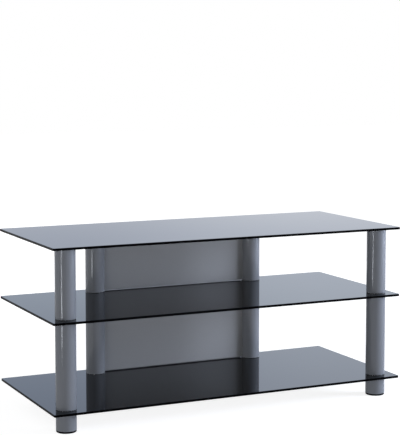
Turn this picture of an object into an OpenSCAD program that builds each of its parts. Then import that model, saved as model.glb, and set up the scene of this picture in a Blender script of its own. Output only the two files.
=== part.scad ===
// Television stand: three black glass shelves on four round posts, with two back panels.
// The origin is on the floor under the middle of the shelves, in millimetres.
// X runs to the right, Y runs to the back and Z runs up.

/* [Heights] */
// Height of the stand, to the upper face of the top shelf
stand_h = 445; // [400:5:700]
// Height of the middle shelf's upper face
middle_h = 270; // [190:5:320]
// Height of the bottom shelf's upper face
bottom_h = 54; // [50:1:130]

/* [Shelves] */
// Width of each glass shelf
shelf_w = 950; // [760:10:1300]
// Depth of each glass shelf
shelf_d = 415; // [330:5:600]
// Thickness of the glass
glass_t = 6; // [4:1:12]
// Radius of the shelf corners, seen from above
corner_r = 4; // [2:1:30]
// Width of the ground bevel along every glass edge
arris = 0.6; // [0.2:0.1:1.2]

/* [Posts] */
// Outer diameter of the tubes
tube_d = 50; // [40:1:64]
// Wall of the tubes
tube_wall = 1.5; // [1:0.1:3]
// Chamfer on the outer rim of each tube end
tube_chamfer = 0.4; // [0.1:0.1:0.8]
// Front post centres, in from the side edges of the glass
front_post_side = 45; // [34:1:120]
// Front post centres, in from the front edge of the glass
front_post_edge = 45; // [34:1:90]
// Distance between the centres of the two rear posts
rear_post_span = 460; // [300:10:700]
// Rear post centres, in from the back edge of the glass
rear_post_edge = 43; // [34:1:90]

/* [Post hardware] */
// Thread diameter of the studs
thread_d = 8; // [6:1:10]
// Radial running clearance between a stud and its plug
thread_play = 0.1; // [0.05:0.05:0.2]
// Radial clearance between a stud and its hole in the glass
hole_play = 1; // [0.5:0.1:2]
// Chamfer on the end of each stud
stud_tip = 1; // [0.5:0.1:1.5]
// Height of the plugs in the tube ends
plug_h = 12; // [9:1:15]
// Radial clearance between a plug and its tube
plug_play = 0.2; // [0.1:0.05:0.4]
// Thickness of the closed face of a plug
plug_face_t = 4; // [3:0.5:6]
// Wall of the plug's rim
plug_rim = 2.5; // [1.5:0.1:4]
// Wall of the plug's threaded boss
boss_wall = 4; // [3:0.5:6]
// Thickness of the ribs between the boss and the rim
rib_t = 1.8; // [1:0.1:3]
// Number of ribs in each plug
rib_count = 6; // [3:1:10]
// How far the ribs stop below the plug's open end
rib_drop = 1; // [0.5:0.5:3]
// Distance from a stud's end to the far side of its plug
stud_short = 1.5; // [1:0.5:3]
// Thickness of the clear washers against the glass
washer_t = 1; // [0.5:0.1:2]
// How far the washers stay inside the tube's outer surface
washer_inset = 0.5; // [0.2:0.1:0.8]
// Thickness of the steel discs bonded under the top glass
disc_t = 4; // [3:0.5:6]
// Radial gap between a bonded disc and the tube around it
disc_gap = 2; // [1:0.5:5]

/* [Feet] */
// Height of the black foot under each tube
glide_h = 5; // [4:0.5:12]
// How far the foot stays inside the tube's outer surface
glide_inset = 0.5; // [0:0.1:2]
// Radius of the foot's lower edge
glide_edge_r = 2; // [1:0.5:3]
// Depth of the stem's seat in the foot
stem_seat = 3; // [2:0.5:3.5]
// How far each foot can be screwed out
glide_travel = 8; // [4:1:12]

/* [Back panels] */
// Thickness of the sheet
sheet_t = 1.5; // [1:0.1:2.5]
// Depth of the folds along the top and bottom edges
fold_depth = 14; // [8:1:25]
// Outer radius of the folds
fold_r = 3; // [2.8:0.1:6]
// Gap between a panel and the glass above and below it
panel_gap = 1.5; // [0.5:0.5:5]
// Gap between a panel's side edge and the tube
panel_side_gap = 0.5; // [0.3:0.1:3]
// Height of each side tab
tab_h = 20; // [10:1:30]
// Distance from a panel's end to the middle of its tab
tab_end = 36; // [28:1:50]
// How far a tab reaches past the tube's wall
tab_reach = 4; // [2:0.5:8]
// Clearance on each side of a tab in its slot
slot_play = 0.3; // [0.2:0.1:0.6]
// Room above a tab for hooking it in
slot_rise = 1; // [0.5:0.5:3]

/* [Hidden] */
$fn = 96;
// Small overshoot that lets a cut pass cleanly through a face
cut = 1;

// Heights of the shelves' undersides
top_z = stand_h - glass_t;
middle_z = middle_h - glass_t;
bottom_z = bottom_h - glass_t;
// Clear heights of the two compartments
upper_clear = top_z - middle_h;
lower_clear = middle_z - bottom_h;
foot_tube_len = bottom_z - washer_t - glide_h;

tube_r = tube_d / 2;
bore_r = tube_r - tube_wall;
plug_r = bore_r - plug_play;
thread_r = thread_d / 2;
tapped_r = thread_r + thread_play;
washer_r = tube_r - washer_inset;
disc_r = bore_r - disc_gap;
// Hole of the top washer, half way between the bonded disc and the tube
ring_hole_r = disc_r + disc_gap / 2;
// How far a stud enters each plug
grip = plug_h - stud_short;
stud_len = glass_t + 2 * washer_t + 2 * grip;
stem_len = stem_seat + plug_h + glide_travel + stud_tip;
// Where the top plug sits below the top glass, against the bonded disc
top_plug_z = top_z - disc_t;

// Each post: name, x, y, and the side of its panel slots (0 for none)
front_x = shelf_w / 2 - front_post_side;
front_y = front_post_edge - shelf_d / 2;
rear_x = rear_post_span / 2;
rear_y = shelf_d / 2 - rear_post_edge;
POSTS = [
    ["front_left", -front_x, front_y, 0],
    ["front_right", front_x, front_y, 0],
    ["rear_left", -rear_x, rear_y, 1],
    ["rear_right", rear_x, rear_y, -1]
];
POST_PIECES = [
    "upper_tube",
    "lower_tube",
    "foot_tube",
    "tube_plugs",
    "shelf_studs",
    "washers",
    "bonded_disc",
    "glide",
    "glide_stem"
];

glass_colour = "#17181b";
tube_colour = "#9aa1aa";
panel_colour = "#a4a7ab";
plug_colour = "#3a3c3f";
steel_colour = "#b9bbb6";
washer_colour = "#dfe4e6";
glide_colour = "#1b1b1d";

// A rectangle with round corners, its lower left corner at the origin
module rounded_rectangle(w, h, r) {
    translate([r, 0])
        square([w - 2 * r, h]);
    translate([0, r])
        square([w, h - 2 * r]);
    for (x = [r, w - r], y = [r, h - r])
        translate([x, y])
            circle(r);
}

// The section of a plate whose long edges are bevelled
module bevelled_section(w, t, bevel) {
    polygon([
        [-w / 2 + bevel, 0],
        [w / 2 - bevel, 0],
        [w / 2, bevel],
        [w / 2, t - bevel],
        [w / 2 - bevel, t],
        [-w / 2 + bevel, t],
        [-w / 2, t - bevel],
        [-w / 2, bevel]
    ]);
}

// A turned disc with a bevel on both rims
module bevelled_disc(r, t, bevel) {
    rotate_extrude()
        polygon([
            [0, 0],
            [r - bevel, 0],
            [r, bevel],
            [r, t - bevel],
            [r - bevel, t],
            [0, t]
        ]);
}

// A flat plate with round corners and a bevel along every edge
module ground_plate(w, d, t, r, bevel) {
    rotate([90, 0, 0])
        linear_extrude(d - 2 * r, center = true)
            bevelled_section(w, t, bevel);
    rotate([90, 0, 90])
        linear_extrude(w - 2 * r, center = true)
            bevelled_section(d, t, bevel);
    for (x = [r - w / 2, w / 2 - r], y = [r - d / 2, d / 2 - r])
        translate([x, y, 0])
            bevelled_disc(r, t, bevel);
}

// One glass shelf with its underside at z, drilled at the posts or left whole
module shelf(z, drilled) {
    color(glass_colour)
        translate([0, 0, z])
            difference() {
                ground_plate(shelf_w, shelf_d, glass_t, corner_r, arris);
                if (drilled)
                    for (post = POSTS)
                        translate([post[1], post[2], -cut])
                            cylinder(h = glass_t + 2 * cut, r = thread_r + hole_play);
            }
}

// A cut tube with chamfered rims, standing on the origin
module tube(len) {
    rotate_extrude()
        polygon([
            [bore_r, 0],
            [tube_r - tube_chamfer, 0],
            [tube_r, tube_chamfer],
            [tube_r, len - tube_chamfer],
            [tube_r - tube_chamfer, len],
            [bore_r, len]
        ]);
}

// Heights of a panel's tabs above the panel's lower edge
function tab_heights(panel_h) = [tab_end, panel_h - tab_end];

// The slots that take a panel's tabs, cut in the side of the tube that faces the panel
module panel_slots(side, clear_h) {
    panel_h = clear_h - 2 * panel_gap;
    for (z = tab_heights(panel_h))
        translate([
            side > 0 ? 0 : -tube_r - cut,
            -sheet_t / 2 - slot_play,
            panel_gap - washer_t + z - tab_h / 2
        ])
            cube([tube_r + cut, sheet_t + 2 * slot_play, tab_h + slot_rise]);
}

// A tube between two shelves, with its foot at z
module post_tube(post, z, clear_h) {
    color(tube_colour)
        translate([post[1], post[2], z + washer_t])
            difference() {
                tube(clear_h - 2 * washer_t);
                if (post[3] != 0)
                    panel_slots(post[3], clear_h);
            }
}

module upper_tube(post) {
    post_tube(post, middle_h, upper_clear);
}

module lower_tube(post) {
    post_tube(post, bottom_h, lower_clear);
}

module foot_tube(post) {
    color(tube_colour)
        translate([post[1], post[2], glide_h])
            tube(foot_tube_len);
}

// A moulded plug with its closed face down on the origin and its ribbed side up
module plug() {
    boss_r = tapped_r + boss_wall;
    rim_r = plug_r - plug_rim;
    rotate_extrude()
        polygon([
            [tapped_r, 0],
            [plug_r, 0],
            [plug_r, plug_h],
            [rim_r, plug_h],
            [rim_r, plug_face_t],
            [boss_r, plug_face_t],
            [boss_r, plug_h],
            [tapped_r, plug_h]
        ]);
    rib_start = boss_r - boss_wall / 2;
    rib_end = rim_r + plug_rim / 2;
    for (i = [0 : rib_count - 1])
        rotate((i + 0.5) * 360 / rib_count)
            translate([rib_start, -rib_t / 2, plug_face_t / 2])
                cube([rib_end - rib_start, rib_t, plug_h - plug_face_t / 2 - rib_drop]);
}

// A plug at the lower end of a tube, with its face down
module plug_up(z) {
    translate([0, 0, z])
        plug();
}

// A plug at the upper end of a tube, with its face up
module plug_down(z) {
    translate([0, 0, z])
        mirror([0, 0, 1])
            plug();
}

module tube_plugs(post) {
    color(plug_colour)
        translate([post[1], post[2], 0]) {
            plug_up(glide_h);
            plug_down(bottom_z - washer_t);
            plug_up(bottom_h + washer_t);
            plug_down(middle_z - washer_t);
            plug_up(middle_h + washer_t);
            plug_down(top_plug_z);
        }
}

// Threaded studs that pull the tubes together through the two lower shelves
module shelf_studs(post) {
    color(steel_colour)
        for (z = [bottom_z, middle_z])
            translate([post[1], post[2], z - washer_t - grip])
                bevelled_disc(thread_r, stud_len, stud_tip);
}

// A ring between the glass and a tube's rim, open in the middle by hole_r
module washer(hole_r) {
    difference() {
        cylinder(h = washer_t, r = washer_r);
        translate([0, 0, -cut])
            cylinder(h = washer_t + 2 * cut, r = hole_r);
    }
}

module washers(post) {
    color(washer_colour, 0.5)
        translate([post[1], post[2], 0]) {
            for (z = [bottom_z, middle_z], side = [-washer_t, glass_t])
                translate([0, 0, z + side])
                    washer(thread_r + hole_play);
            translate([0, 0, top_z - washer_t])
                washer(ring_hole_r);
        }
}

// The disc under the top glass, with the stud that screws into the top plug
module bonded_disc(post) {
    color(steel_colour)
        translate([post[1], post[2], top_plug_z]) {
            cylinder(h = disc_t, r = disc_r);
            translate([0, 0, -grip])
                bevelled_disc(thread_r, grip + disc_t - stud_tip, stud_tip);
        }
}

// The round moulded foot, open on top for its stem
module glide(post) {
    r = tube_r - glide_inset;
    color(glide_colour)
        translate([post[1], post[2], 0])
            difference() {
                rotate_extrude()
                    union() {
                        translate([0, glide_edge_r])
                            square([r, glide_h - glide_edge_r]);
                        square([r - glide_edge_r, glide_h]);
                        translate([r - glide_edge_r, glide_edge_r])
                            circle(glide_edge_r);
                    }
                translate([0, 0, glide_h - stem_seat])
                    cylinder(h = stem_seat + cut, r = tapped_r);
            }
}

module glide_stem(post) {
    color(steel_colour)
        translate([post[1], post[2], glide_h - stem_seat])
            bevelled_disc(thread_r, stem_len, stud_tip);
}

// The folded section of a panel, in depth and height, with its front face at zero
module folded_section(panel_h) {
    difference() {
        rounded_rectangle(fold_depth + fold_r, panel_h, fold_r);
        translate([sheet_t, sheet_t])
            rounded_rectangle(fold_depth + fold_r, panel_h - 2 * sheet_t, fold_r - sheet_t);
        translate([fold_depth, -cut])
            square([fold_r + cut, panel_h + 2 * cut]);
    }
}

// A sheet between the rear posts, folded back at top and bottom, with two tabs on each side
module back_panel(z, clear_h) {
    panel_h = clear_h - 2 * panel_gap;
    half_w = rear_x - tube_r - panel_side_gap;
    tab_tip = rear_x - bore_r + tab_reach;
    color(panel_colour)
        translate([0, rear_y - sheet_t / 2, z + panel_gap]) {
            rotate([90, 0, 90])
                linear_extrude(2 * half_w, center = true)
                    folded_section(panel_h);
            for (tab_z = tab_heights(panel_h))
                translate([-tab_tip, 0, tab_z - tab_h / 2])
                    cube([2 * tab_tip, sheet_t, tab_h]);
        }
}

shelf(top_z, false);  // top_shelf
shelf(middle_z, true);  // middle_shelf
shelf(bottom_z, true);  // bottom_shelf
back_panel(middle_h, upper_clear);  // upper_back_panel
back_panel(bottom_h, lower_clear);  // lower_back_panel
for (post = POSTS) {
    upper_tube(post);
    lower_tube(post);
    foot_tube(post);
    tube_plugs(post);
    shelf_studs(post);
    washers(post);
    bonded_disc(post);
    glide(post);
    glide_stem(post);
}
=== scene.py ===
# %% [markdown]
# # A low media stand in black glass and silver tube
# The stand is three black glass shelves on four round posts, with two folded panels at the back.
# An engineering model of it has already been made to size, and this file gives it its looks.
# We load that model first and never move it. Each visible piece is built in the place of the
# model's own: where it stands and how large it is are read from the model, and the finer sizes of
# each piece are named beside it.

# %% Load the engineering model
import math

import bmesh
import bpy
from mathutils import Matrix, Vector


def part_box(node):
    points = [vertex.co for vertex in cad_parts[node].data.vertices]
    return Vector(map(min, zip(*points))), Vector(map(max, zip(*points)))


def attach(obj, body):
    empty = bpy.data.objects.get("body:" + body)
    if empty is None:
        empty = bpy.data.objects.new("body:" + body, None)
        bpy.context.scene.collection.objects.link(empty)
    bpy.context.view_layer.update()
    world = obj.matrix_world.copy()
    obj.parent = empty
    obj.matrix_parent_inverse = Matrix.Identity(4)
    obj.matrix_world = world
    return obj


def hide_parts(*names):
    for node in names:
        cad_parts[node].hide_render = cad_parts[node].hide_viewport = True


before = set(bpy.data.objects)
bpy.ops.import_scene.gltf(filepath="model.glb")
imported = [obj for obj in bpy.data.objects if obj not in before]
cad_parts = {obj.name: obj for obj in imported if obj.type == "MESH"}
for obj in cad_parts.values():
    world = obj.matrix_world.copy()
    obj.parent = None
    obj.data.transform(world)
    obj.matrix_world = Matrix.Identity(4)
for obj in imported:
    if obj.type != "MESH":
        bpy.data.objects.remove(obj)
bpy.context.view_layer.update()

scene = bpy.context.scene
print("nodes:", len(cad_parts))

# %% [markdown]
# ## The camera
# The picture to match was taken from the front left, a little above the top shelf, with a long
# lens. The place, the turn and the lens were fitted to the corners of the shelves. A long lens
# keeps the upright posts nearly parallel, and the small shift lifts the stand in the frame as in
# the picture.

# %% Camera
LOOK_DOWN, TURN_RIGHT = 4.853, 25.371

camera_data = bpy.data.cameras.new("camera")
camera_data.lens = 114.5
camera_data.shift_y = -0.1
camera = bpy.data.objects.new("camera", camera_data)
camera.location = (-1.5255, -3.2118, 0.8853)
camera.rotation_euler = (math.radians(90 - LOOK_DOWN), 0, math.radians(-TURN_RIGHT))
scene.collection.objects.link(camera)
scene.camera = camera
print("camera:", tuple(round(c, 3) for c in camera.location))

# %% [markdown]
# ## Working in millimetres
# Blender measures in metres, but a drawing of a part is in millimetres. One constant keeps the
# numbers below readable. The places of the posts come from the model's own foot tubes.

# %% Places and sizes from the model
MM = 0.001
POSTS = ("front_left", "front_right", "rear_left", "rear_right")
TUBE_LENGTHS = ("foot", "lower", "upper")

post_axis = {}
for post in POSTS:
    low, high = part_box(f"{post}_foot_tube")
    post_axis[post] = ((low + high) / 2).xy
    print(post, "axis in mm:", [round(c / MM, 1) for c in post_axis[post]])
tube_radius = (high.x - low.x) / 2
print("tube radius in mm:", round(tube_radius / MM, 2))

# %% [markdown]
# ## Colours and nodes
# Paint charts and pictures give colours as sRGB hex values, while Blender's shaders work in linear
# light, so one function does that conversion. Another adds a node, sets it and links it in a single
# call. It serves the shader trees and the geometry trees alike.

# %% Colour and node helpers
def linear(code):
    """Turns an sRGB hex colour into linear red, green, blue and alpha."""
    parts = [int(code[i:i + 2], 16) / 255 for i in (1, 3, 5)]
    return *(c / 12.92 if c <= 0.04045 else ((c + 0.055) / 1.055) ** 2.4 for c in parts), 1


def add_node(tree, kind, inputs=None, **settings):
    """Adds a node. An input takes a value, a node or socket to link from, or a list of these."""
    node = tree.nodes.new(kind)
    for name, value in settings.items():
        setattr(node, name, value)
    for key, value in (inputs or {}).items():
        by_name = (s for s in node.inputs if s.enabled and s.name == key)
        socket = node.inputs[key] if isinstance(key, int) else next(by_name)
        for source in value if isinstance(value, list) else [value]:
            if isinstance(source, bpy.types.Node):
                source = next(s for s in source.outputs if s.enabled)
            if isinstance(source, bpy.types.NodeSocket):
                tree.links.new(source, socket)
            else:
                socket.default_value = source
    return node


print("mid grey in linear light:", round(linear("#808080")[0], 4))

# %% Material helper
def new_material(name, **finish):
    """A material with its main shader, whose constant inputs are set on the shader itself."""
    material = bpy.data.materials.new(name)
    material.use_nodes = True
    tree = material.node_tree
    shader = tree.nodes["Principled BSDF"]
    for key, value in finish.items():
        shader.inputs[key.replace("_", " ").title().replace("Ior", "IOR")].default_value = value
    place = add_node(tree, "ShaderNodeTexCoord").outputs["Object"]
    return material, tree, shader, place


print("materials can be made")

# %% [markdown]
# ## Patterns in the object's own space
# A fine pattern has a real size, such as the 0.6 mm between the lines on a glass edge. The noise
# texture counts its features per metre, so the size in millimetres is turned into a scale here,
# and a different size along each axis stretches the pattern into lines. Three more helpers let a
# pattern steer the colour, the roughness and the relief of a surface.

# %% Pattern helpers
NOISE_LOW, NOISE_HIGH = 0.3, 0.7


def grain(tree, place, size, detail=2.0):
    """Noise whose features measure size millimetres along each axis."""
    stretch = add_node(tree, "ShaderNodeMapping", {
        "Vector": place, "Scale": tuple(1 / (s * MM) for s in size)})
    return add_node(tree, "ShaderNodeTexNoise", {
        "Vector": stretch, "Scale": 1.0, "Detail": detail, "Roughness": 0.5})


def tint(tree, shader, pattern, low, high):
    """Mixes the surface's colour from two hex colours by a pattern."""
    mix = add_node(tree, "ShaderNodeMix", {
        "Factor": pattern, "A": linear(low), "B": linear(high)}, data_type="RGBA")
    tree.links.new(mix.outputs["Result"], shader.inputs["Base Color"])


def dull(tree, shader, pattern, low, high):
    """Varies the roughness from low to high over the range that most of the noise fills."""
    roughness = add_node(tree, "ShaderNodeMapRange", {
        "Value": pattern, "From Min": NOISE_LOW, "From Max": NOISE_HIGH,
        "To Min": low, "To Max": high})
    tree.links.new(roughness.outputs[0], shader.inputs["Roughness"])


def relief(tree, shader, pattern, depth):
    """Raises the surface by up to depth millimetres by a pattern."""
    bump = add_node(tree, "ShaderNodeBump", {
        "Height": pattern, "Distance": depth * MM, "Strength": 1.0})
    tree.links.new(bump.outputs[0], shader.inputs["Normal"])


print("lines 0.6 mm apart have a scale of", round(1 / (0.6 * MM)))

# %% [markdown]
# ## Black safety glass
# The shelves are float glass, black through and through, cut and then toughened in a furnace. The
# face is fire-polished, so it is a near mirror: black from above and silver at a low angle. No
# light comes back out of black glass, so all that one sees is its reflection. The metallic shader
# gives just that: its colour is the 4 % that glass returns head-on, and its specular tint says how
# strong the mirror gets at a low angle, a little less than on bare glass. The rollers of the
# furnace leave a very slight wave, some 200 mm long, which bends a reflected post a little. A
# dusting cloth leaves faint duller patches, 60 mm long and 25 mm wide.

# %% Glass face
HEAD_ON = linear("#393a3b")
glass_face, tree, shader, place = new_material(
    "toughened black float glass, face", metallic=1.0, base_color=HEAD_ON,
    specular_tint=linear("#ebebeb"))
wave = grain(tree, place, (260, 180, 180), detail=0.0)
relief(tree, shader, wave, 0.02)
wiped = grain(tree, place, (60, 25, 25), detail=4.0)
dull(tree, shader, wiped, 0.015, 0.05)
print(glass_face.name, "returns head-on", round(HEAD_ON[0], 3))

# %% [markdown]
# ## Polished glass edge
# The long narrow sides are ground flat with a diamond wheel and polished. Looking square onto an
# edge shows the black body of the glass, so it keeps little reflection. The wheel leaves lines
# along the edge about 0.2 mm apart, too fine for the picture, so they are drawn 0.6 mm apart.

# %% Glass edge
glass_edge, tree, shader, place = new_material(
    "toughened black float glass, polished edge", base_color=linear("#030304"), ior=1.5,
    specular_ior_level=0.01)
lines = grain(tree, place, (40, 40, 0.6))
dull(tree, shader, lines, 0.10, 0.24)
relief(tree, shader, lines, 0.01)
print(glass_edge.name)

# %% [markdown]
# ## Ground arris
# The sharp corner between face and edge is taken off with a fine belt, which leaves a matt bevel.
# Matt ground glass scatters light, so this line is a shade paler than the polished edge beside it.
# The grit is about 0.1 mm, drawn 0.5 mm wide.

# %% Glass arris
glass_arris, tree, shader, place = new_material(
    "toughened black float glass, ground arris", ior=1.5, specular_ior_level=0.06)
grit = grain(tree, place, (0.5, 0.5, 0.5), detail=3.0)
tint(tree, shader, grit, "#0e0f11", "#1b1d20")
dull(tree, shader, grit, 0.42, 0.62)
print(glass_arris.name)

# %% [markdown]
# ## Shelf glass
# A shelf is a flat outline with thickness, and its edges are bevelled the same way all round, also
# round the bolt holes. A flat Blender curve does all of that: closed splines inside one another
# become holes, Extrude gives the thickness and Bevel the ground edge. Its Offset is drawn in by
# the bevel's width, so that the finished plate measures what the outline says.

# %% Outline helpers
def corner_arc(centre, radius, start, end, steps):
    """Points on an arc from one angle to another, in degrees."""
    angles = [math.radians(start + (end - start) * i / steps) for i in range(steps + 1)]
    return [(centre[0] + radius * math.cos(a), centre[1] + radius * math.sin(a)) for a in angles]


def rounded_outline(width, depth, radius, steps=8):
    """A rectangle about the origin with round corners."""
    x, y = width / 2 - radius, depth / 2 - radius
    corners = ((x, -y, -90), (x, y, 0), (-x, y, 90), (-x, -y, 180))
    return [p for cx, cy, a in corners for p in corner_arc((cx, cy), radius, a, a + 90, steps)]


print("a corner has", len(rounded_outline(1, 1, 0.1)) // 4, "points")

# %% Plate helpers
def evaluated(host):
    """The plain mesh of an object after its modifiers. The object itself is removed."""
    scene.collection.objects.link(host)
    depsgraph = bpy.context.evaluated_depsgraph_get()
    mesh = bpy.data.meshes.new_from_object(host.evaluated_get(depsgraph), depsgraph=depsgraph)
    bpy.data.objects.remove(host)
    return mesh


def plate_mesh(name, outlines, thickness, bevel, z):
    """A flat plate with its underside at z, bevelled along every outline."""
    curve = bpy.data.curves.new(name, "CURVE")
    curve.dimensions, curve.fill_mode = "2D", "BOTH"
    curve.extrude, curve.bevel_depth = thickness / 2 - bevel, bevel
    curve.bevel_resolution, curve.offset = 0, -bevel
    for outline in outlines:
        spline = curve.splines.new("POLY")
        spline.points.add(len(outline) - 1)
        spline.points.foreach_set("co", [c for x, y in outline for c in (x, y, 0, 1)])
        spline.use_cyclic_u = True
    mesh = evaluated(bpy.data.objects.new(name, curve))
    mesh.transform(Matrix.Translation((0, 0, z + thickness / 2)))
    return mesh


print("plates are ready to be cut")

# %% [markdown]
# ## Cleaning a mesh
# Curves and swept shapes come with doubled points along their seams. Merging these closes the
# shell, and then the normals can be turned outwards reliably. Smooth shading is kept for the
# curved parts only, by marking every edge sharper than a given angle as sharp. Beside a small
# rounding, smooth shading would also bend the light on a long straight face, as if a tube were a
# barrel. The Weighted Normal modifier lets the largest faces set the shading, so they stay true.

# %% Mesh cleaning
SAME_POINT, NO_LENGTH = 2e-6, 1e-6


def clean(mesh, sharp=30.0):
    """Merges doubles, turns faces outwards and shades smooth up to a sharp angle."""
    work = bmesh.new()
    work.from_mesh(mesh)
    bmesh.ops.remove_doubles(work, verts=work.verts, dist=SAME_POINT)
    bmesh.ops.dissolve_degenerate(work, edges=work.edges, dist=NO_LENGTH)
    bmesh.ops.recalc_face_normals(work, faces=work.faces)
    open_edges = sum(not edge.is_manifold for edge in work.edges)
    if work.calc_volume(signed=True) < 0:
        bmesh.ops.reverse_faces(work, faces=work.faces)
    work.to_mesh(mesh)
    work.free()
    mesh.shade_smooth()
    mesh.set_sharp_from_angle(angle=math.radians(sharp))
    return open_edges


print("points closer than", SAME_POINT / MM, "mm are merged")

# %% Placing a piece
def true_faces(mesh):
    """The same mesh, shaded so that its large faces look as straight as they are."""
    host = bpy.data.objects.new("host", mesh)
    host.modifiers.new("true faces", "WEIGHTED_NORMAL").keep_sharp = True
    return evaluated(host)


def place_piece(name, mesh, body, nodes):
    """Puts a finished mesh in the scene, on its body, in place of the model's nodes."""
    mesh = true_faces(mesh)
    mesh.name = name
    piece = bpy.data.objects.new(name, mesh)
    scene.collection.objects.link(piece)
    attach(piece, body)
    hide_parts(*nodes)
    return piece


print("pieces can be placed")

# %% [markdown]
# ## The three shelves
# All three are the same plate. The two lower ones are drilled where the posts pass through. Each
# face then takes the finish that its direction tells: level faces are the polished glass, upright
# ones the ground edge, and the slanting ones between them the arris.

# %% Shelves
ARRIS = 0.6 * MM
CORNER_RADIUS = 4 * MM
HOLE_RADIUS, HOLE_POINTS = 5 * MM, 48
UPRIGHT, LEVEL = 0.1, 0.9
SHELVES = {"glass_top": "top_shelf", "glass_middle": "middle_shelf", "glass_bottom": "bottom_shelf"}


def finish_by_direction(mesh):
    """Gives level, slanting and upright faces the face, arris and edge finishes."""
    for material in (glass_face, glass_arris, glass_edge):
        mesh.materials.append(material)
    for polygon in mesh.polygons:
        flatness = abs(polygon.normal.z)
        polygon.material_index = 0 if flatness > LEVEL else 1 if flatness > UPRIGHT else 2


last_angle = 360 - 360 / HOLE_POINTS
for name, node in SHELVES.items():
    low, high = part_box(node)
    size = high - low
    outlines = [rounded_outline(size.x, size.y, CORNER_RADIUS)]
    if name != "glass_top":
        outlines += [corner_arc(post_axis[post], HOLE_RADIUS, 0, last_angle, HOLE_POINTS - 1)
                     for post in POSTS]
    mesh = plate_mesh(name, outlines, size.z, ARRIS, low.z)
    open_edges = clean(mesh)
    finish_by_direction(mesh)
    piece = place_piece(name, mesh, "rack", [node])
    print(name, [round(d / MM, 2) for d in piece.dimensions], "open edges:", open_edges)

# %% [markdown]
# ## Geometry Nodes from a script
# The other pieces follow rules: turned shapes, a thread, ribs round an axis. Geometry Nodes suit
# these, and a tree can be built in a script just as a shader can. Its sizes become named inputs.
# The tree runs as a modifier on a base mesh, each input is set by its socket's identifier, and the
# result is read back as a plain mesh.

# %% Geometry tree helpers
def new_tree(name, **sizes):
    """A geometry tree with a Geometry input and one named input for each size."""
    tree = bpy.data.node_groups.new(name, "GeometryNodeTree")
    face = tree.interface
    face.new_socket("Geometry", in_out="INPUT", socket_type="NodeSocketGeometry")
    for size, value in sizes.items():
        kind = "NodeSocketInt" if isinstance(value, int) else "NodeSocketFloat"
        face.new_socket(size, in_out="INPUT", socket_type=kind).default_value = value
    face.new_socket("Geometry", in_out="OUTPUT", socket_type="NodeSocketGeometry")
    return tree, tree.nodes.new("NodeGroupInput").outputs


def end_tree(tree, geometry, material):
    """Ends a tree with real geometry in its material, because instances aren't exported."""
    real = add_node(tree, "GeometryNodeRealizeInstances", {"Geometry": geometry})
    painted = add_node(tree, "GeometryNodeSetMaterial", {"Geometry": real, "Material": material})
    add_node(tree, "NodeGroupOutput", {"Geometry": painted})


def run_tree(tree, base, **sizes):
    """Runs a tree on a base mesh and returns the result as a plain mesh."""
    host = bpy.data.objects.new(tree.name, base)
    modifier = host.modifiers.new(tree.name, "NODES")
    modifier.node_group = tree
    for item in tree.interface.items_tree:
        if item.in_out == "INPUT" and item.name in sizes:
            modifier[item.identifier] = sizes[item.name]
    mesh = evaluated(host)
    bpy.data.meshes.remove(base)
    return mesh


print("tree helpers are ready")

# %% [markdown]
# ## A lathe made of nodes
# Tubes, washers, discs, plugs and feet are all turned shapes: one half section swept round an
# axis. The same geometry tree can make every one of them, and it is built once for each material.
# It takes the section as edges, rounds its corners with Fillet Curve and sweeps it along a circle
# with Curve to Mesh. Corners on the axis must stay sharp, so the fillet's radius is zero there.

# %% Lathe tree
MATH = "ShaderNodeMath"
LATHE_RADIUS = 1.0
ON_AXIS = 1e-5


def lathe_tree(name, material):
    """Turns a half section, drawn in X and Y about the lathe's circle, round the Z axis."""
    tree, size = new_tree(name, edge_radius=0.4 * MM, steps=3, sides=96)
    section = add_node(tree, "GeometryNodeMeshToCurve", {"Mesh": size["Geometry"]})
    place = add_node(tree, "GeometryNodeInputPosition")
    radius = add_node(tree, "ShaderNodeSeparateXYZ", {0: place}).outputs["X"]
    off_axis = add_node(tree, MATH, {
        0: radius, 1: ON_AXIS - LATHE_RADIUS}, operation="GREATER_THAN")
    corner = add_node(tree, MATH, {0: off_axis, 1: size["edge_radius"]}, operation="MULTIPLY")
    rounded = add_node(tree, "GeometryNodeFilletCurve", {
        "Curve": section, "Radius": corner, "Count": size["steps"], "Limit Radius": True},
        mode="POLY")
    circle = add_node(tree, "GeometryNodeCurvePrimitiveCircle", {
        "Resolution": size["sides"], "Radius": LATHE_RADIUS})
    upright = add_node(tree, "GeometryNodeSetCurveNormal", {"Curve": circle}, mode="Z_UP")
    swept = add_node(tree, "GeometryNodeCurveToMesh", {
        "Curve": upright, "Profile Curve": rounded})
    end_tree(tree, swept, material)
    return tree


def section_mesh(points, closed=True):
    """A half section from (radius, height) points in millimetres, as bare edges."""
    base = bpy.data.meshes.new("section")
    count = len(points)
    edges = [(i, (i + 1) % count) for i in range(count if closed else count - 1)]
    base.from_pydata([((r - LATHE_RADIUS / MM) * MM, -z * MM, 0) for r, z in points], edges, [])
    return base


print("lathe circle in m:", LATHE_RADIUS)

# %% [markdown]
# ## Silver lacquered aluminium tube
# The posts are drawn aluminium tube, sprayed with a silver lacquer. Fine flakes in the lacquer
# give part of the shine of metal, and the binder between them scatters the rest, so the tubes look
# soft and even from end to end, with one clear line of light. The flakes are about 0.05 mm across
# and are drawn 0.4 mm wide; under them the lines of the drawing die show faintly, 1 mm apart here.

# %% Tube finish
tube_finish, tree, shader, place = new_material(
    "silver metallic lacquer on aluminium tube", metallic=0.12, ior=1.5,
    specular_ior_level=0.05, specular_tint=linear("#a8adb5"))
flakes = grain(tree, place, (0.4, 0.4, 0.4))
die_lines = grain(tree, place, (1.0, 1.0, 300), detail=3.0)
total = add_node(tree, MATH, {0: flakes, 1: die_lines}, operation="ADD")
mean = add_node(tree, MATH, {0: total, 1: 0.5}, operation="MULTIPLY")
tint(tree, shader, mean, "#7a7d82", "#898c92")
dull(tree, shader, flakes, 0.10, 0.13)
print(tube_finish.name)

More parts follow.
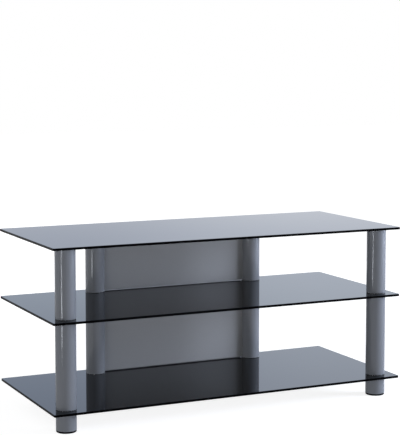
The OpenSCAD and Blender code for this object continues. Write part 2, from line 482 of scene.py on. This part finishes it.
# %% [markdown]
# ## Slots and tabs
# The rear tubes have two upright slots on their inner sides for the tabs of the panels. A slot
# follows no turned shape, so a Boolean modifier cuts it out with plain boxes. Tabs and slots share
# one set of sizes, so that they fit, and the slot is a little longer than the tab to let it hook
# in.

# %% Tab and slot sizes
SHEET = 1.5
TAB_HEIGHT, TAB_END = 20, 36
SLOT_PLAY, SLOT_RISE = 0.3, 1.0
CUT_PAST = 1.0
PANELS = {"lower": "lower_back_panel", "upper": "upper_back_panel"}


def tab_centres(length_name):
    """Heights of the tabs on one panel, in millimetres."""
    low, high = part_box(PANELS[length_name])
    return low.z / MM + TAB_END, high.z / MM - TAB_END


def slot_boxes(post, length_name):
    """The cuts for two tabs on the inner side of a rear tube, in millimetres."""
    x, y = (c / MM for c in post_axis[post])
    inner = 1 if post == "rear_left" else -1
    left, right = sorted((x, x + inner * (tube_radius / MM + CUT_PAST)))
    half = SHEET / 2 + SLOT_PLAY
    return [((left, y - half, z - TAB_HEIGHT / 2),
             (right, y + half, z + TAB_HEIGHT / 2 + SLOT_RISE)) for z in tab_centres(length_name)]


print("tab heights in mm:", {key: [round(z, 1) for z in tab_centres(key)] for key in PANELS})

# %% Cutting helpers
def box_mesh(name, boxes):
    """Plain boxes from (lowest corner, highest corner) pairs in millimetres, for cutting."""
    work = bmesh.new()
    for low, high in boxes:
        low, high = Vector(low) * MM, Vector(high) * MM
        place = Matrix.Translation((low + high) / 2) @ Matrix.Diagonal((*(high - low), 1))
        bmesh.ops.create_cube(work, size=1, matrix=place)
    mesh = bpy.data.meshes.new(name)
    work.to_mesh(mesh)
    work.free()
    return mesh


def cut_out(mesh, boxes):
    """Cuts boxes out of a mesh."""
    host = bpy.data.objects.new("blank", mesh)
    cutter = bpy.data.objects.new("cutter", box_mesh("cutter", boxes))
    scene.collection.objects.link(cutter)
    cut = host.modifiers.new("slots", "BOOLEAN")
    cut.operation, cut.solver, cut.object = "DIFFERENCE", "EXACT", cutter
    result = evaluated(host)
    bpy.data.objects.remove(cutter)
    return result


print("cuts in the rear left tube, upper length:", len(slot_boxes("rear_left", "upper")))

# %% [markdown]
# ## The posts
# Every post is three lengths of the same tube, cut by a saw and deburred, with the glass clamped
# between them. The section is only a thin upright rectangle, and the lathe rounds its rims by the
# 0.4 mm that deburring takes off.

# %% Tubes
TUBE_WALL, DEBURRED = 1.5, 0.4
tube_tree = lathe_tree("cut tube", tube_finish)


def at_post(post, z):
    """The move that stands a mesh on a post's axis, at a height in metres."""
    return Matrix.Translation((*post_axis[post], z))


for post in POSTS:
    for length_name in TUBE_LENGTHS:
        node = f"{post}_{length_name}_tube"
        low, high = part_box(node)
        length, radius = (high.z - low.z) / MM, tube_radius / MM
        bore = radius - TUBE_WALL
        base = section_mesh([(bore, 0), (radius, 0), (radius, length), (bore, length)])
        mesh = run_tree(tube_tree, base, edge_radius=DEBURRED * MM)
        mesh.transform(at_post(post, low.z))
        clean(mesh)
        if post.startswith("rear") and length_name in PANELS:
            mesh = cut_out(mesh, slot_boxes(post, length_name))
        open_edges = clean(mesh)
        place_piece(f"tube_{post}_{length_name}", mesh, "rack", [node])
    print(post, "tubes are placed, open edges in the last one:", open_edges)

# %% [markdown]
# ## Silver lacquered sheet
# The panels are steel sheet in a silver lacquer. Aluminium flakes about 0.05 mm across float in
# the lacquer, so its colour sparkles very finely; the flakes are drawn 0.5 mm wide to show at all.
# A sprayed lacquer never dries quite flat, and its slight orange peel, 3 mm wide, softens
# reflections.

# %% Panel finish
panel_finish, tree, shader, place = new_material(
    "silver metallic lacquer on steel sheet", metallic=0.15, ior=1.5,
    specular_ior_level=0.15, specular_tint=linear("#a8adb5"))
flakes = grain(tree, place, (0.5, 0.5, 0.5))
peel = grain(tree, place, (3, 3, 3), detail=1.0)
tint(tree, shader, flakes, "#8f9092", "#a5a6a8")
dull(tree, shader, flakes, 0.34, 0.46)
relief(tree, shader, peel, 0.012)
print(panel_finish.name)

# %% [markdown]
# ## The back panels
# A panel is one sheet, folded back along its top and bottom so that it stays stiff, with two tabs
# on each side that hook into the slots. It is made the way sheet metal is thought of: a surface
# without thickness, bent along a path, and then Solidify gives the thickness and Bevel breaks the
# cut edges. The tabs are extra faces on the sides of the same surface.

# %% Folded sheet
FOLD_DEPTH, FOLD_RADIUS, FOLD_STEPS = 14, 3, 6


def folded_path(height, stops):
    """Points (depth, height) down the middle of the sheet, from the lower fold to the upper."""
    bend, mid = FOLD_RADIUS - SHEET / 2, SHEET / 2
    lower = corner_arc((FOLD_RADIUS, FOLD_RADIUS), bend, 270, 180, FOLD_STEPS)
    upper = corner_arc((FOLD_RADIUS, height - FOLD_RADIUS), bend, 180, 90, FOLD_STEPS)
    flat = [(mid, z) for z in stops]
    return [(FOLD_DEPTH, mid), *lower, *flat, *upper, (FOLD_DEPTH, height - mid)]


def panel_mesh(name, width, tip, height, stops):
    """The sheet's middle surface: a wide strip with a tab on each side between its stops."""
    path = folded_path(height, stops)
    work = bmesh.new()
    left, right = ([work.verts.new((side * width / 2 * MM, y * MM, z * MM)) for y, z in path]
                   for side in (-1, 1))
    for i in range(len(path) - 1):
        work.faces.new((left[i], right[i], right[i + 1], left[i + 1]))
    rows = {round(z, 3): i for i, (y, z) in enumerate(path) if y == SHEET / 2}
    for low, high in (stops[:2], stops[2:]):
        for edge, side in ((left, -1), (right, 1)):
            a, b = edge[rows[round(low, 3)]], edge[rows[round(high, 3)]]
            tab = [work.verts.new((side * tip * MM, v.co.y, v.co.z)) for v in (a, b)]
            work.faces.new((a, tab[0], tab[1], b) if side > 0 else (b, tab[1], tab[0], a))
    bmesh.ops.recalc_face_normals(work, faces=work.faces)
    mesh = bpy.data.meshes.new(name)
    work.to_mesh(mesh)
    work.free()
    return mesh


print("points round one fold:", FOLD_STEPS + 1)

# %% Panels
SIDE_GAP = 0.5
BROKEN_EDGE, CUT_ANGLE, FOLD_SHARP = 0.25, 50, 40

for length_name, node in PANELS.items():
    low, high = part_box(node)
    height = (high.z - low.z) / MM
    width = 2 * (post_axis["rear_right"].x - tube_radius) / MM - 2 * SIDE_GAP
    stops = [c + s * TAB_HEIGHT / 2 for c in (TAB_END, height - TAB_END) for s in (-1, 1)]
    mesh = panel_mesh(node, width, high.x / MM, height, stops)
    host = bpy.data.objects.new("sheet", mesh)
    wall = host.modifiers.new("sheet", "SOLIDIFY")
    wall.thickness, wall.offset, wall.use_even_offset = SHEET * MM, 0, True
    rim = host.modifiers.new("broken edge", "BEVEL")
    rim.width, rim.segments = BROKEN_EDGE * MM, 2
    rim.limit_method, rim.angle_limit = "ANGLE", math.radians(CUT_ANGLE)
    mesh = evaluated(host)
    mesh.transform(Matrix.Translation((0, low.y, low.z)))
    mesh.materials.append(panel_finish)
    open_edges = clean(mesh, sharp=FOLD_SHARP)
    piece = place_piece(f"panel_{length_name}", mesh, "rack", [node])
    print(piece.name, [round(d / MM, 2) for d in piece.dimensions], "open edges:", open_edges)

# %% [markdown]
# ## Moulded black foot
# The feet are injection-moulded polyethylene. The mould is spark-eroded, which gives the plastic a
# fine leathery grain about 0.2 mm wide, drawn 0.6 mm wide here, and a soft, slightly greasy shine.

# %% Foot finish
foot_finish, tree, shader, place = new_material(
    "moulded black polyethylene", ior=1.51, specular_ior_level=0.06)
texture = grain(tree, place, (0.6, 0.6, 0.6))
tint(tree, shader, texture, "#09090a", "#111213")
dull(tree, shader, texture, 0.42, 0.58)
relief(tree, shader, texture, 0.02)
print(foot_finish.name)

# %% [markdown]
# ## The feet
# A foot is a low round pad with a well rounded lower edge, a shallow recess underneath, so that it
# stands on its rim, and a seat for its screw on top. That is one more section for the lathe. It
# starts and ends on the axis, so it is an open line, and the turned shape closes by itself.

# %% Feet
FOOT_EDGE, FOOT_STEPS, FOOT_CORNER = 2.0, 8, 0.3
RECESS_DEPTH, RECESS_RADIUS, RIM_RADIUS = 0.5, 15.5, 16.5
THREAD_RADIUS, THREAD_PLAY = 4.0, 0.1
SEAT_DEPTH = 3.0
foot_tree = lathe_tree("moulded foot", foot_finish)

seat = THREAD_RADIUS + THREAD_PLAY
for post in POSTS:
    low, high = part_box(f"{post}_glide")
    radius, height = (high.x - low.x) / 2 / MM, (high.z - low.z) / MM
    edge = corner_arc((radius - FOOT_EDGE, FOOT_EDGE), FOOT_EDGE, -90, 0, FOOT_STEPS)
    section = [(0, RECESS_DEPTH), (RECESS_RADIUS, RECESS_DEPTH), (RIM_RADIUS, 0), *edge,
               (radius, height), (seat, height), (seat, height - SEAT_DEPTH),
               (0, height - SEAT_DEPTH)]
    base = section_mesh(section, closed=False)
    mesh = run_tree(foot_tree, base, edge_radius=FOOT_CORNER * MM)
    mesh.transform(at_post(post, low.z))
    open_edges = clean(mesh)
    piece = place_piece(f"foot_{post}", mesh, f"{post}_foot", [f"{post}_glide"])
    print(piece.name, [round(d / MM, 2) for d in piece.dimensions], "open edges:", open_edges)

# %% [markdown]
# ## Zinc-plated steel
# Screws and discs are steel with a thin bright zinc plating. Zinc grows in small crystals, so its
# shine is broken into a soft mottle, slightly blue. The crystals are a few tenths of a millimetre
# wide, drawn 0.8 mm wide.

# %% Zinc finish
zinc_finish, tree, shader, place = new_material("bright zinc-plated steel", metallic=1.0)
crystals = grain(tree, place, (0.8, 0.8, 0.8), detail=3.0)
tint(tree, shader, crystals, "#a9adb2", "#c9ccce")
dull(tree, shader, crystals, 0.24, 0.38)
print(zinc_finish.name)

# %% [markdown]
# ## Threaded rod
# An M8 thread is a ridge that climbs 1.25 mm with every turn. A cylinder with eight rows of faces
# to the turn is enough to carry it: Set Position moves every point in or out by a wave of its
# height and its angle. The wave runs from 0 at the crest to 0.5 at the root, half a turn on; it
# is flat up to CREST and again from ROOT. The same tree cuts the chamfer that lets a screw find
# its hole.

# %% Thread profile
PITCH, ROWS_PER_TURN = 1.25, 8
CREST, ROOT = 0.06, 0.44


def thread_radius(tree, size, x, y, z):
    """How far out a point of the rod lies, on the ridge or on the chamfer of the nearer end."""
    height = add_node(tree, MATH, {0: size["length"], 1: 0.5, 2: z}, operation="MULTIPLY_ADD")
    angle = add_node(tree, MATH, {0: y, 1: x}, operation="ARCTAN2")
    turn = add_node(tree, MATH, {0: angle, 1: math.tau}, operation="DIVIDE")
    turns_up = add_node(tree, MATH, {0: height, 1: size["pitch"]}, operation="DIVIDE")
    climb = add_node(tree, MATH, {0: turns_up, 1: turn}, operation="SUBTRACT")
    wave = add_node(tree, MATH, {0: climb, 1: 0.5}, operation="PINGPONG")
    flank = add_node(tree, "ShaderNodeMapRange", {
        "Value": wave, "From Min": CREST, "From Max": ROOT})
    groove = add_node(tree, MATH, {0: size["depth"], 1: flank}, operation="MULTIPLY")
    ridge = add_node(tree, MATH, {0: size["radius"], 1: groove}, operation="SUBTRACT")
    above = add_node(tree, MATH, {0: size["length"], 1: height}, operation="SUBTRACT")
    to_end = add_node(tree, MATH, {0: height, 1: above}, operation="MINIMUM")
    nose = add_node(tree, MATH, {0: size["radius"], 1: size["chamfer"]}, operation="SUBTRACT")
    tip = add_node(tree, MATH, {0: nose, 1: to_end}, operation="ADD")
    return add_node(tree, MATH, {0: ridge, 1: tip}, operation="MINIMUM")


print("height of a thread's flank in mm:", round((ROOT - CREST) * PITCH, 3))

# %% Thread tree
def thread_tree(material):
    """A threaded rod about the origin, with chamfered ends."""
    tree, size = new_tree("threaded rod", radius=THREAD_RADIUS * MM, length=20 * MM,
                          pitch=PITCH * MM, depth=0.7 * MM, chamfer=1 * MM, rows=128, sides=32)
    rod = add_node(tree, "GeometryNodeMeshCylinder", {
        "Vertices": size["sides"], "Side Segments": size["rows"],
        "Radius": size["radius"], "Depth": size["length"]})
    place = add_node(tree, "GeometryNodeInputPosition")
    x, y, z = add_node(tree, "ShaderNodeSeparateXYZ", {0: place}).outputs
    reach = thread_radius(tree, size, x, y, z)
    scale = add_node(tree, MATH, {0: reach, 1: size["radius"]}, operation="DIVIDE")
    spread = add_node(tree, "ShaderNodeCombineXYZ", {0: scale, 1: scale, 2: 1.0})
    moved = add_node(tree, "ShaderNodeVectorMath", {0: place, 1: spread}, operation="MULTIPLY")
    threaded = add_node(tree, "GeometryNodeSetPosition", {"Geometry": rod, "Position": moved})
    end_tree(tree, threaded, material)
    return tree


rod_tree = thread_tree(zinc_finish)
print("the thread tree has", len(rod_tree.nodes), "nodes")

# %% Rods and joined meshes
def rod_mesh(length):
    """A threaded rod of a length in millimetres, standing on the origin."""
    rows = round(length / PITCH * ROWS_PER_TURN)
    mesh = run_tree(rod_tree, bpy.data.meshes.new("rod"), length=length * MM, rows=rows)
    mesh.transform(Matrix.Translation((0, 0, length / 2 * MM)))
    return mesh


def join(name, parts):
    """One mesh from (mesh, place) pairs."""
    work = bmesh.new()
    for mesh, place in parts:
        moved = mesh.copy()
        moved.transform(place)
        work.from_mesh(moved)
        bpy.data.meshes.remove(moved)
    joined = bpy.data.meshes.new(name)
    work.to_mesh(joined)
    work.free()
    for material in parts[0][0].materials:
        joined.materials.append(material)
    return joined


print("rows of faces in a 20 mm rod:", round(20 / PITCH * ROWS_PER_TURN))

# %% [markdown]
# ## Studs and stems
# Each post holds two studs, one through the middle glass and one through the bottom glass. They
# pull the tubes of the post together. A stem of the same rod is fixed in each foot, and screwing
# it in or out of the post levels the stand.

# %% Studs and stems
STUD_LENGTH = 29.0
THREAD_SHARP = 60

for post in POSTS:
    low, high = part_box(f"{post}_shelf_studs")
    stud = rod_mesh(STUD_LENGTH)
    heights = (low.z, high.z - STUD_LENGTH * MM)
    studs = join("studs", [(stud, at_post(post, z)) for z in heights])
    open_edges = clean(studs, sharp=THREAD_SHARP)
    place_piece(f"studs_{post}", studs, "rack", [f"{post}_shelf_studs"])
    low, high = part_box(f"{post}_glide_stem")
    stem = rod_mesh((high.z - low.z) / MM)
    stem.transform(at_post(post, low.z))
    clean(stem, sharp=THREAD_SHARP)
    place_piece(f"stem_{post}", stem, f"{post}_foot", [f"{post}_glide_stem"])
    faces = len(studs.polygons), len(stem.polygons)
    print(post, "faces in studs and stem:", faces, "open edges:", open_edges)

# %% [markdown]
# ## Discs bonded under the top glass
# The top shelf shows no screws, because a steel disc is glued to its underside over each post. The
# disc carries a stud that screws into the post. The lathe makes the disc with broken edges, and
# the rod tree makes the stud, which goes deep into the disc and is welded there.

# %% Bonded discs
DISC_HEIGHT, DISC_EDGE = 4.0, 0.4
STEEL_OVER_STUD = 1.0
disc_tree = lathe_tree("bonded disc", zinc_finish)

for post in POSTS:
    low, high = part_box(f"{post}_bonded_disc")
    radius = (high.x - low.x) / 2 / MM
    section = [(0, 0), (radius, 0), (radius, DISC_HEIGHT), (0, DISC_HEIGHT)]
    disc = run_tree(disc_tree, section_mesh(section, closed=False), edge_radius=DISC_EDGE * MM)
    stud = rod_mesh((high.z - low.z) / MM - STEEL_OVER_STUD)
    mesh = join("disc", [(disc, at_post(post, high.z - DISC_HEIGHT * MM)),
                         (stud, at_post(post, low.z))])
    open_edges = clean(mesh)
    place_piece(f"disc_{post}", mesh, "rack", [f"{post}_bonded_disc"])
print("disc radius in mm:", round(radius, 2), "open edges:", open_edges)

# %% [markdown]
# ## Clear washers
# A thin soft washer lies between the glass and every tube rim, so that metal never touches glass.
# It is cut from clear vinyl sheet: light passes through it, and its surface is slightly dull, in
# soft patches 2 mm wide.

# %% Washer finish
vinyl_finish, tree, shader, place = new_material(
    "clear soft vinyl sheet", base_color=linear("#d4dadc"), ior=1.53, transmission_weight=0.9,
    specular_ior_level=0.3)
dullness = grain(tree, place, (2, 2, 2))
dull(tree, shader, dullness, 0.14, 0.3)
print(vinyl_finish.name)

# %% [markdown]
# ## Washers in their places
# Four of the washers in a post are closed but for the bolt hole. The fifth lies under the top
# glass, where the bonded disc fills the middle, so it is only a narrow ring. Both are one small
# rectangle on the lathe, with its corners a little rounded as a punched sheet's are.

# %% Washers
WASHER, WASHER_RADIUS, WASHER_EDGE = 1.0, 24.5, 0.2
RING_HOLE = 22.5
washer_tree = lathe_tree("washer", vinyl_finish)


def washer_mesh(hole):
    """A washer with a hole of a radius in millimetres, lying on the origin."""
    ring = [(hole, 0), (WASHER_RADIUS, 0), (WASHER_RADIUS, WASHER), (hole, WASHER)]
    return run_tree(washer_tree, section_mesh(ring), edge_radius=WASHER_EDGE * MM)


def tube_ends(post):
    """The lowest and the highest z of each tube of a post, from the foot up."""
    boxes = [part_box(f"{post}_{name}_tube") for name in TUBE_LENGTHS]
    return [(low.z, high.z) for low, high in boxes]


washer, ring = washer_mesh(HOLE_RADIUS / MM), washer_mesh(RING_HOLE)
for post in POSTS:
    foot, lower, upper = tube_ends(post)
    seats = (foot[1], lower[0] - WASHER * MM, lower[1], upper[0] - WASHER * MM)
    parts = [(washer, at_post(post, z)) for z in seats]
    parts.append((ring, at_post(post, upper[1])))
    mesh = join("washers", parts)
    open_edges = clean(mesh)
    place_piece(f"washers_{post}", mesh, "rack", [f"{post}_washers"])
print("washers in a post:", len(parts), "open edges:", open_edges)

# %% [markdown]
# ## Grey nylon
# The plugs in the tube ends are moulded in nylon, which is tough enough to hold a thread. Grey
# nylon has a waxy look: a little light enters it, and its surface is smooth with a soft shine and
# faint clouds 5 mm wide.

# %% Plug finish
nylon_finish, tree, shader, place = new_material(
    "moulded grey nylon", ior=1.53, subsurface_weight=0.1, subsurface_scale=2 * MM)
wax = grain(tree, place, (5, 5, 5))
tint(tree, shader, wax, "#35373a", "#404246")
dull(tree, shader, wax, 0.35, 0.5)
print(nylon_finish.name)

# %% [markdown]
# ## Ribbed plugs
# A plug is a turned cup with a threaded boss, and six ribs join the boss to the rim. The lathe
# tree serves here as one node inside a larger tree. The ribs are a single block placed on six
# points round the axis, and a Mesh Boolean node unites them with the cup into one closed solid.

# %% Plug tree
def plug_tree(material):
    """Adds ribs to a turned cup."""
    tree, size = new_tree("ribbed plug", edge_radius=0.3 * MM, ribs=6, rib_length=10 * MM,
                          rib_width=1.8 * MM, rib_height=9 * MM, rib_middle=14 * MM,
                          rib_lift=6.5 * MM)
    cup = add_node(tree, "GeometryNodeGroup", {
        "Geometry": size["Geometry"], "edge_radius": size["edge_radius"]},
        node_tree=lathe_tree("turned cup", material))
    index = add_node(tree, "GeometryNodeInputIndex")
    number = add_node(tree, MATH, {0: index, 1: 0.5}, operation="ADD")
    turn = add_node(tree, MATH, {0: number, 1: size["ribs"]}, operation="DIVIDE")
    angle = add_node(tree, MATH, {0: turn, 1: math.tau}, operation="MULTIPLY")
    east = add_node(tree, MATH, {0: angle}, operation="COSINE")
    north = add_node(tree, MATH, {0: angle}, operation="SINE")
    x = add_node(tree, MATH, {0: east, 1: size["rib_middle"]}, operation="MULTIPLY")
    y = add_node(tree, MATH, {0: north, 1: size["rib_middle"]}, operation="MULTIPLY")
    spot = add_node(tree, "ShaderNodeCombineXYZ", {0: x, 1: y, 2: size["rib_lift"]})
    points = add_node(tree, "GeometryNodePoints", {"Count": size["ribs"], "Position": spot})
    block_size = add_node(tree, "ShaderNodeCombineXYZ", {
        0: size["rib_length"], 1: size["rib_width"], 2: size["rib_height"]})
    block = add_node(tree, "GeometryNodeMeshCube", {"Size": block_size})
    facing = add_node(tree, "ShaderNodeCombineXYZ", {2: angle})
    ribs = add_node(tree, "GeometryNodeInstanceOnPoints", {
        "Points": points, "Instance": block, "Rotation": facing})
    real = add_node(tree, "GeometryNodeRealizeInstances", {"Geometry": ribs})
    united = add_node(tree, "GeometryNodeMeshBoolean", {1: [cup, real]}, operation="UNION")
    end_tree(tree, united, material)
    return tree


ribbed = plug_tree(nylon_finish)
print("the plug tree has", len(ribbed.nodes), "nodes")

# %% [markdown]
# ## Plugs in their places
# One plug is made and copied to both ends of every tube, turned upside down at the upper end, so
# that its closed face always lies at the rim. Only the highest plug lies deeper, under the disc.

# %% One plug
PLUG_HEIGHT, PLUG_FACE, PLUG_RIM, BOSS_WALL = 12.0, 4.0, 2.5, 4.0
RIB, RIB_DROP = 1.8, 1.0


def plug_mesh(radius):
    """A plug with its closed face down on the origin."""
    bore = THREAD_RADIUS + THREAD_PLAY
    boss, rim = bore + BOSS_WALL, radius - PLUG_RIM
    section = [(bore, 0), (radius, 0), (radius, PLUG_HEIGHT), (rim, PLUG_HEIGHT),
               (rim, PLUG_FACE), (boss, PLUG_FACE), (boss, PLUG_HEIGHT), (bore, PLUG_HEIGHT)]
    start, end = boss - BOSS_WALL / 2, rim + PLUG_RIM / 2
    height = PLUG_HEIGHT - RIB_DROP - PLUG_FACE / 2
    return run_tree(ribbed, section_mesh(section), rib_length=(end - start) * MM,
                    rib_width=RIB * MM, rib_height=height * MM,
                    rib_middle=(start + end) / 2 * MM, rib_lift=(PLUG_FACE / 2 + height / 2) * MM)


low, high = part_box("front_left_tube_plugs")
plug = plug_mesh((high.x - low.x) / 2 / MM)
open_edges = clean(plug)
print("faces in one plug:", len(plug.polygons), "open edges:", open_edges)

# %% Plugs
upside_down = Matrix.Rotation(math.pi, 4, "X")

for post in POSTS:
    low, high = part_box(f"{post}_tube_plugs")
    foot, lower, upper = tube_ends(post)
    parts = []
    for bottom, top in (foot, lower, (upper[0], high.z)):
        parts.append((plug, at_post(post, bottom)))
        parts.append((plug, at_post(post, top) @ upside_down))
    mesh = join("plugs", parts)
    clean(mesh)
    place_piece(f"plugs_{post}", mesh, "rack", [f"{post}_tube_plugs"])
print("plugs in a post:", len(parts))

# %% [markdown]
# ## The world
# The picture has a pure white background, so the world is plain white to the camera. To every ray
# that a gloss or a glass sends out it is the same white studio with its walls. A window on its
# right makes it brighter there, twice as much high up as low down, and above the horizon it turns
# a pale blue. In the picture the glass pales from left to right and is bluer on the lower
# shelves, which mirror higher parts of the room. The diffuse light that the world gives is set
# apart, at a plain level.

# %% Rays that see the background
def background_rays(tree):
    """Two factors: one for camera rays, and one for glossy and transmission rays."""
    rays = add_node(tree, "ShaderNodeLightPath").outputs
    gloss = add_node(tree, MATH, {
        0: rays["Is Glossy Ray"], 1: rays["Is Transmission Ray"]}, operation="MAXIMUM")
    return rays["Is Camera Ray"], gloss


scene.view_settings.view_transform = "Standard"
print("view transform:", scene.view_settings.view_transform)

# %% Walls, sky and window
WALLS, WINDOW = 1.07, 0.22
WINDOW_SIDE, WINDOW_TOP = (0.33, 0.5), (0.12, 0.3)
SKY = {0.05: "#ffffff", 0.127: "#dee7f8", 0.17: "#dfecff", 0.235: "#d7e6ff"}

world = bpy.data.worlds.new("white studio")
world.use_nodes = True
scene.world = world
tree = world.node_tree
tree.nodes.clear()
direction = add_node(tree, "ShaderNodeTexCoord").outputs["Generated"]
way = add_node(tree, "ShaderNodeSeparateXYZ", {0: direction}).outputs
sky = add_node(tree, "ShaderNodeValToRGB", {"Fac": way["Z"]})
stops = sky.color_ramp.elements
for position, code in SKY.items():
    stops.new(position).color = linear(code)
stops.remove(stops[-1])
stops.remove(stops[0])
to_right = add_node(tree, "ShaderNodeMapRange", {
    "Value": way["X"], "From Min": WINDOW_SIDE[0], "From Max": WINDOW_SIDE[1],
    "To Min": 0.0, "To Max": WINDOW}, interpolation_type="SMOOTHSTEP")
to_top = add_node(tree, "ShaderNodeMapRange", {
    "Value": way["Z"], "From Min": WINDOW_TOP[0], "From Max": WINDOW_TOP[1],
    "To Min": 1.0, "To Max": 2.0}, interpolation_type="SMOOTHSTEP")
window = add_node(tree, MATH, {0: to_right, 1: to_top}, operation="MULTIPLY")
walls = add_node(tree, "ShaderNodeBackground", {"Color": sky.outputs["Color"], "Strength": WALLS})
glare = add_node(tree, "ShaderNodeBackground", {"Color": linear("#ffffff"), "Strength": window})
studio = add_node(tree, "ShaderNodeAddShader", {0: walls, 1: glare})
print("colours from the horizon up:", len(stops))

# %% What each ray sees
AMBIENT = 0.12

ambient = add_node(tree, "ShaderNodeBackground", {
    "Color": linear("#f2f6ff"), "Strength": AMBIENT})
white = add_node(tree, "ShaderNodeBackground", {"Color": linear("#ffffff"), "Strength": 1.0})
seen, mirrored = background_rays(tree)
light = add_node(tree, "ShaderNodeMixShader", {0: mirrored, 1: ambient, 2: studio})
mixed = add_node(tree, "ShaderNodeMixShader", {0: seen, 1: light, 2: white})
add_node(tree, "ShaderNodeOutputWorld", {"Surface": mixed})
print("ambient light:", AMBIENT)

# %% [markdown]
# ## The floor
# A pale floor carries the stand and keeps its shadow. Its own light, added only for the rays that
# see a background, lifts it to white away from the shadow, and a little more where the lamps no
# longer reach.

# %% Floor finish
LIT_FLOOR, FAR_FLOOR = (0.9, 0.84), (2.2, 0.94)
floor_finish = bpy.data.materials.new("matt white paper")
floor_finish.use_nodes = True
tree = floor_finish.node_tree
tree.nodes.clear()
paper = add_node(tree, "ShaderNodeBsdfDiffuse", {"Color": linear("#d0d0d0")})
place = add_node(tree, "ShaderNodeTexCoord").outputs["Object"]
away = add_node(tree, "ShaderNodeVectorMath", {0: place}, operation="LENGTH").outputs["Value"]
own_light = add_node(tree, "ShaderNodeMapRange", {
    "Value": away, "From Min": LIT_FLOOR[0], "From Max": FAR_FLOOR[0],
    "To Min": LIT_FLOOR[1], "To Max": FAR_FLOOR[1]}, interpolation_type="SMOOTHSTEP")
seen, mirrored = background_rays(tree)
either = add_node(tree, MATH, {0: seen, 1: mirrored}, operation="MAXIMUM")
lift = add_node(tree, MATH, {0: either, 1: own_light}, operation="MULTIPLY")
glow = add_node(tree, "ShaderNodeEmission", {"Color": linear("#ffffff"), "Strength": lift})
both = add_node(tree, "ShaderNodeAddShader", {0: paper, 1: glow})
add_node(tree, "ShaderNodeOutputMaterial", {"Surface": both})
print("the floor's own light:", LIT_FLOOR[1], "near the stand and", FAR_FLOOR[1], "far away")

# %% [markdown]
# ## Four floor quarters
# The floor is in four parts, and each goes with the foot that stands on it: a foot is screwed out
# where the floor is lower.

# %% Floor
FLOOR_SIZE = 12.0

for post in POSTS:
    side, end = (math.copysign(FLOOR_SIZE, c) for c in post_axis[post])
    mesh = bpy.data.meshes.new(f"floor_{post}")
    corners = [(0, 0, 0), (side, 0, 0), (side, end, 0), (0, end, 0)]
    mesh.from_pydata(corners, [], [(0, 1, 2, 3) if side * end > 0 else (3, 2, 1, 0)])
    mesh.materials.append(floor_finish)
    quarter = bpy.data.objects.new(f"floor_{post}", mesh)
    scene.collection.objects.link(quarter)
    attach(quarter, f"{post}_foot")
print("floor quarters in m:", FLOOR_SIZE)

# %% [markdown]
# ## The lamps
# Three soft lamps light the stand. The key stands low on the right and is slightly blue, so it
# brightens the right side of every post and reaches between the shelves. Broad fills on the left
# and at the back keep the other sides from going black. A lamp would show as a second bright line
# in the tubes, so these lamps are hidden from gloss, and the metal mirrors only the white room.
# The one thin line that the picture shows down the left tubes comes from a long narrow light that
# lies on the floor to the left, as sun through a gap would. Only gloss sees it, and it faces up,
# so that no glass shelf can mirror it.

# %% Lamps
def softbox(name, place, aim, size, brightness, colour="#ffffff", mirrored=False):
    """An area lamp that lights the surfaces, or else one that gloss alone mirrors."""
    lamp = bpy.data.lights.new(name, "AREA")
    lamp.shape = "ELLIPSE" if mirrored else "RECTANGLE"
    lamp.size, lamp.size_y = size
    lamp.color = linear(colour)[:3]
    lamp.energy = brightness * math.pi * size[0] * size[1]
    box = bpy.data.objects.new(name, lamp)
    box.visible_glossy, box.visible_diffuse = mirrored, not mirrored
    box.location = place
    box.rotation_euler = (Vector(aim) - Vector(place)).to_track_quat("-Z", "Y").to_euler()
    scene.collection.objects.link(box)
    print(name, "power in W:", round(lamp.energy, 2))


STAND = (0, 0, 0.25)
softbox("streak_left", (-2.75, -1.5, 0.06), (-2.72, -1.483, 1.06), (0.22, 3.6), 11.8, mirrored=True)
softbox("fill_left", (-5.85, -3.45, 0.55), STAND, (4.5, 1.05), 8.2)
softbox("key_right", (3.65, -1.63, 0.74), STAND, (1.95, 1.65), 23.2, "#e6eeff")
softbox("fill_back", (-1.6, 3.4, 1.2), STAND, (3.0, 1.8), 4.0)
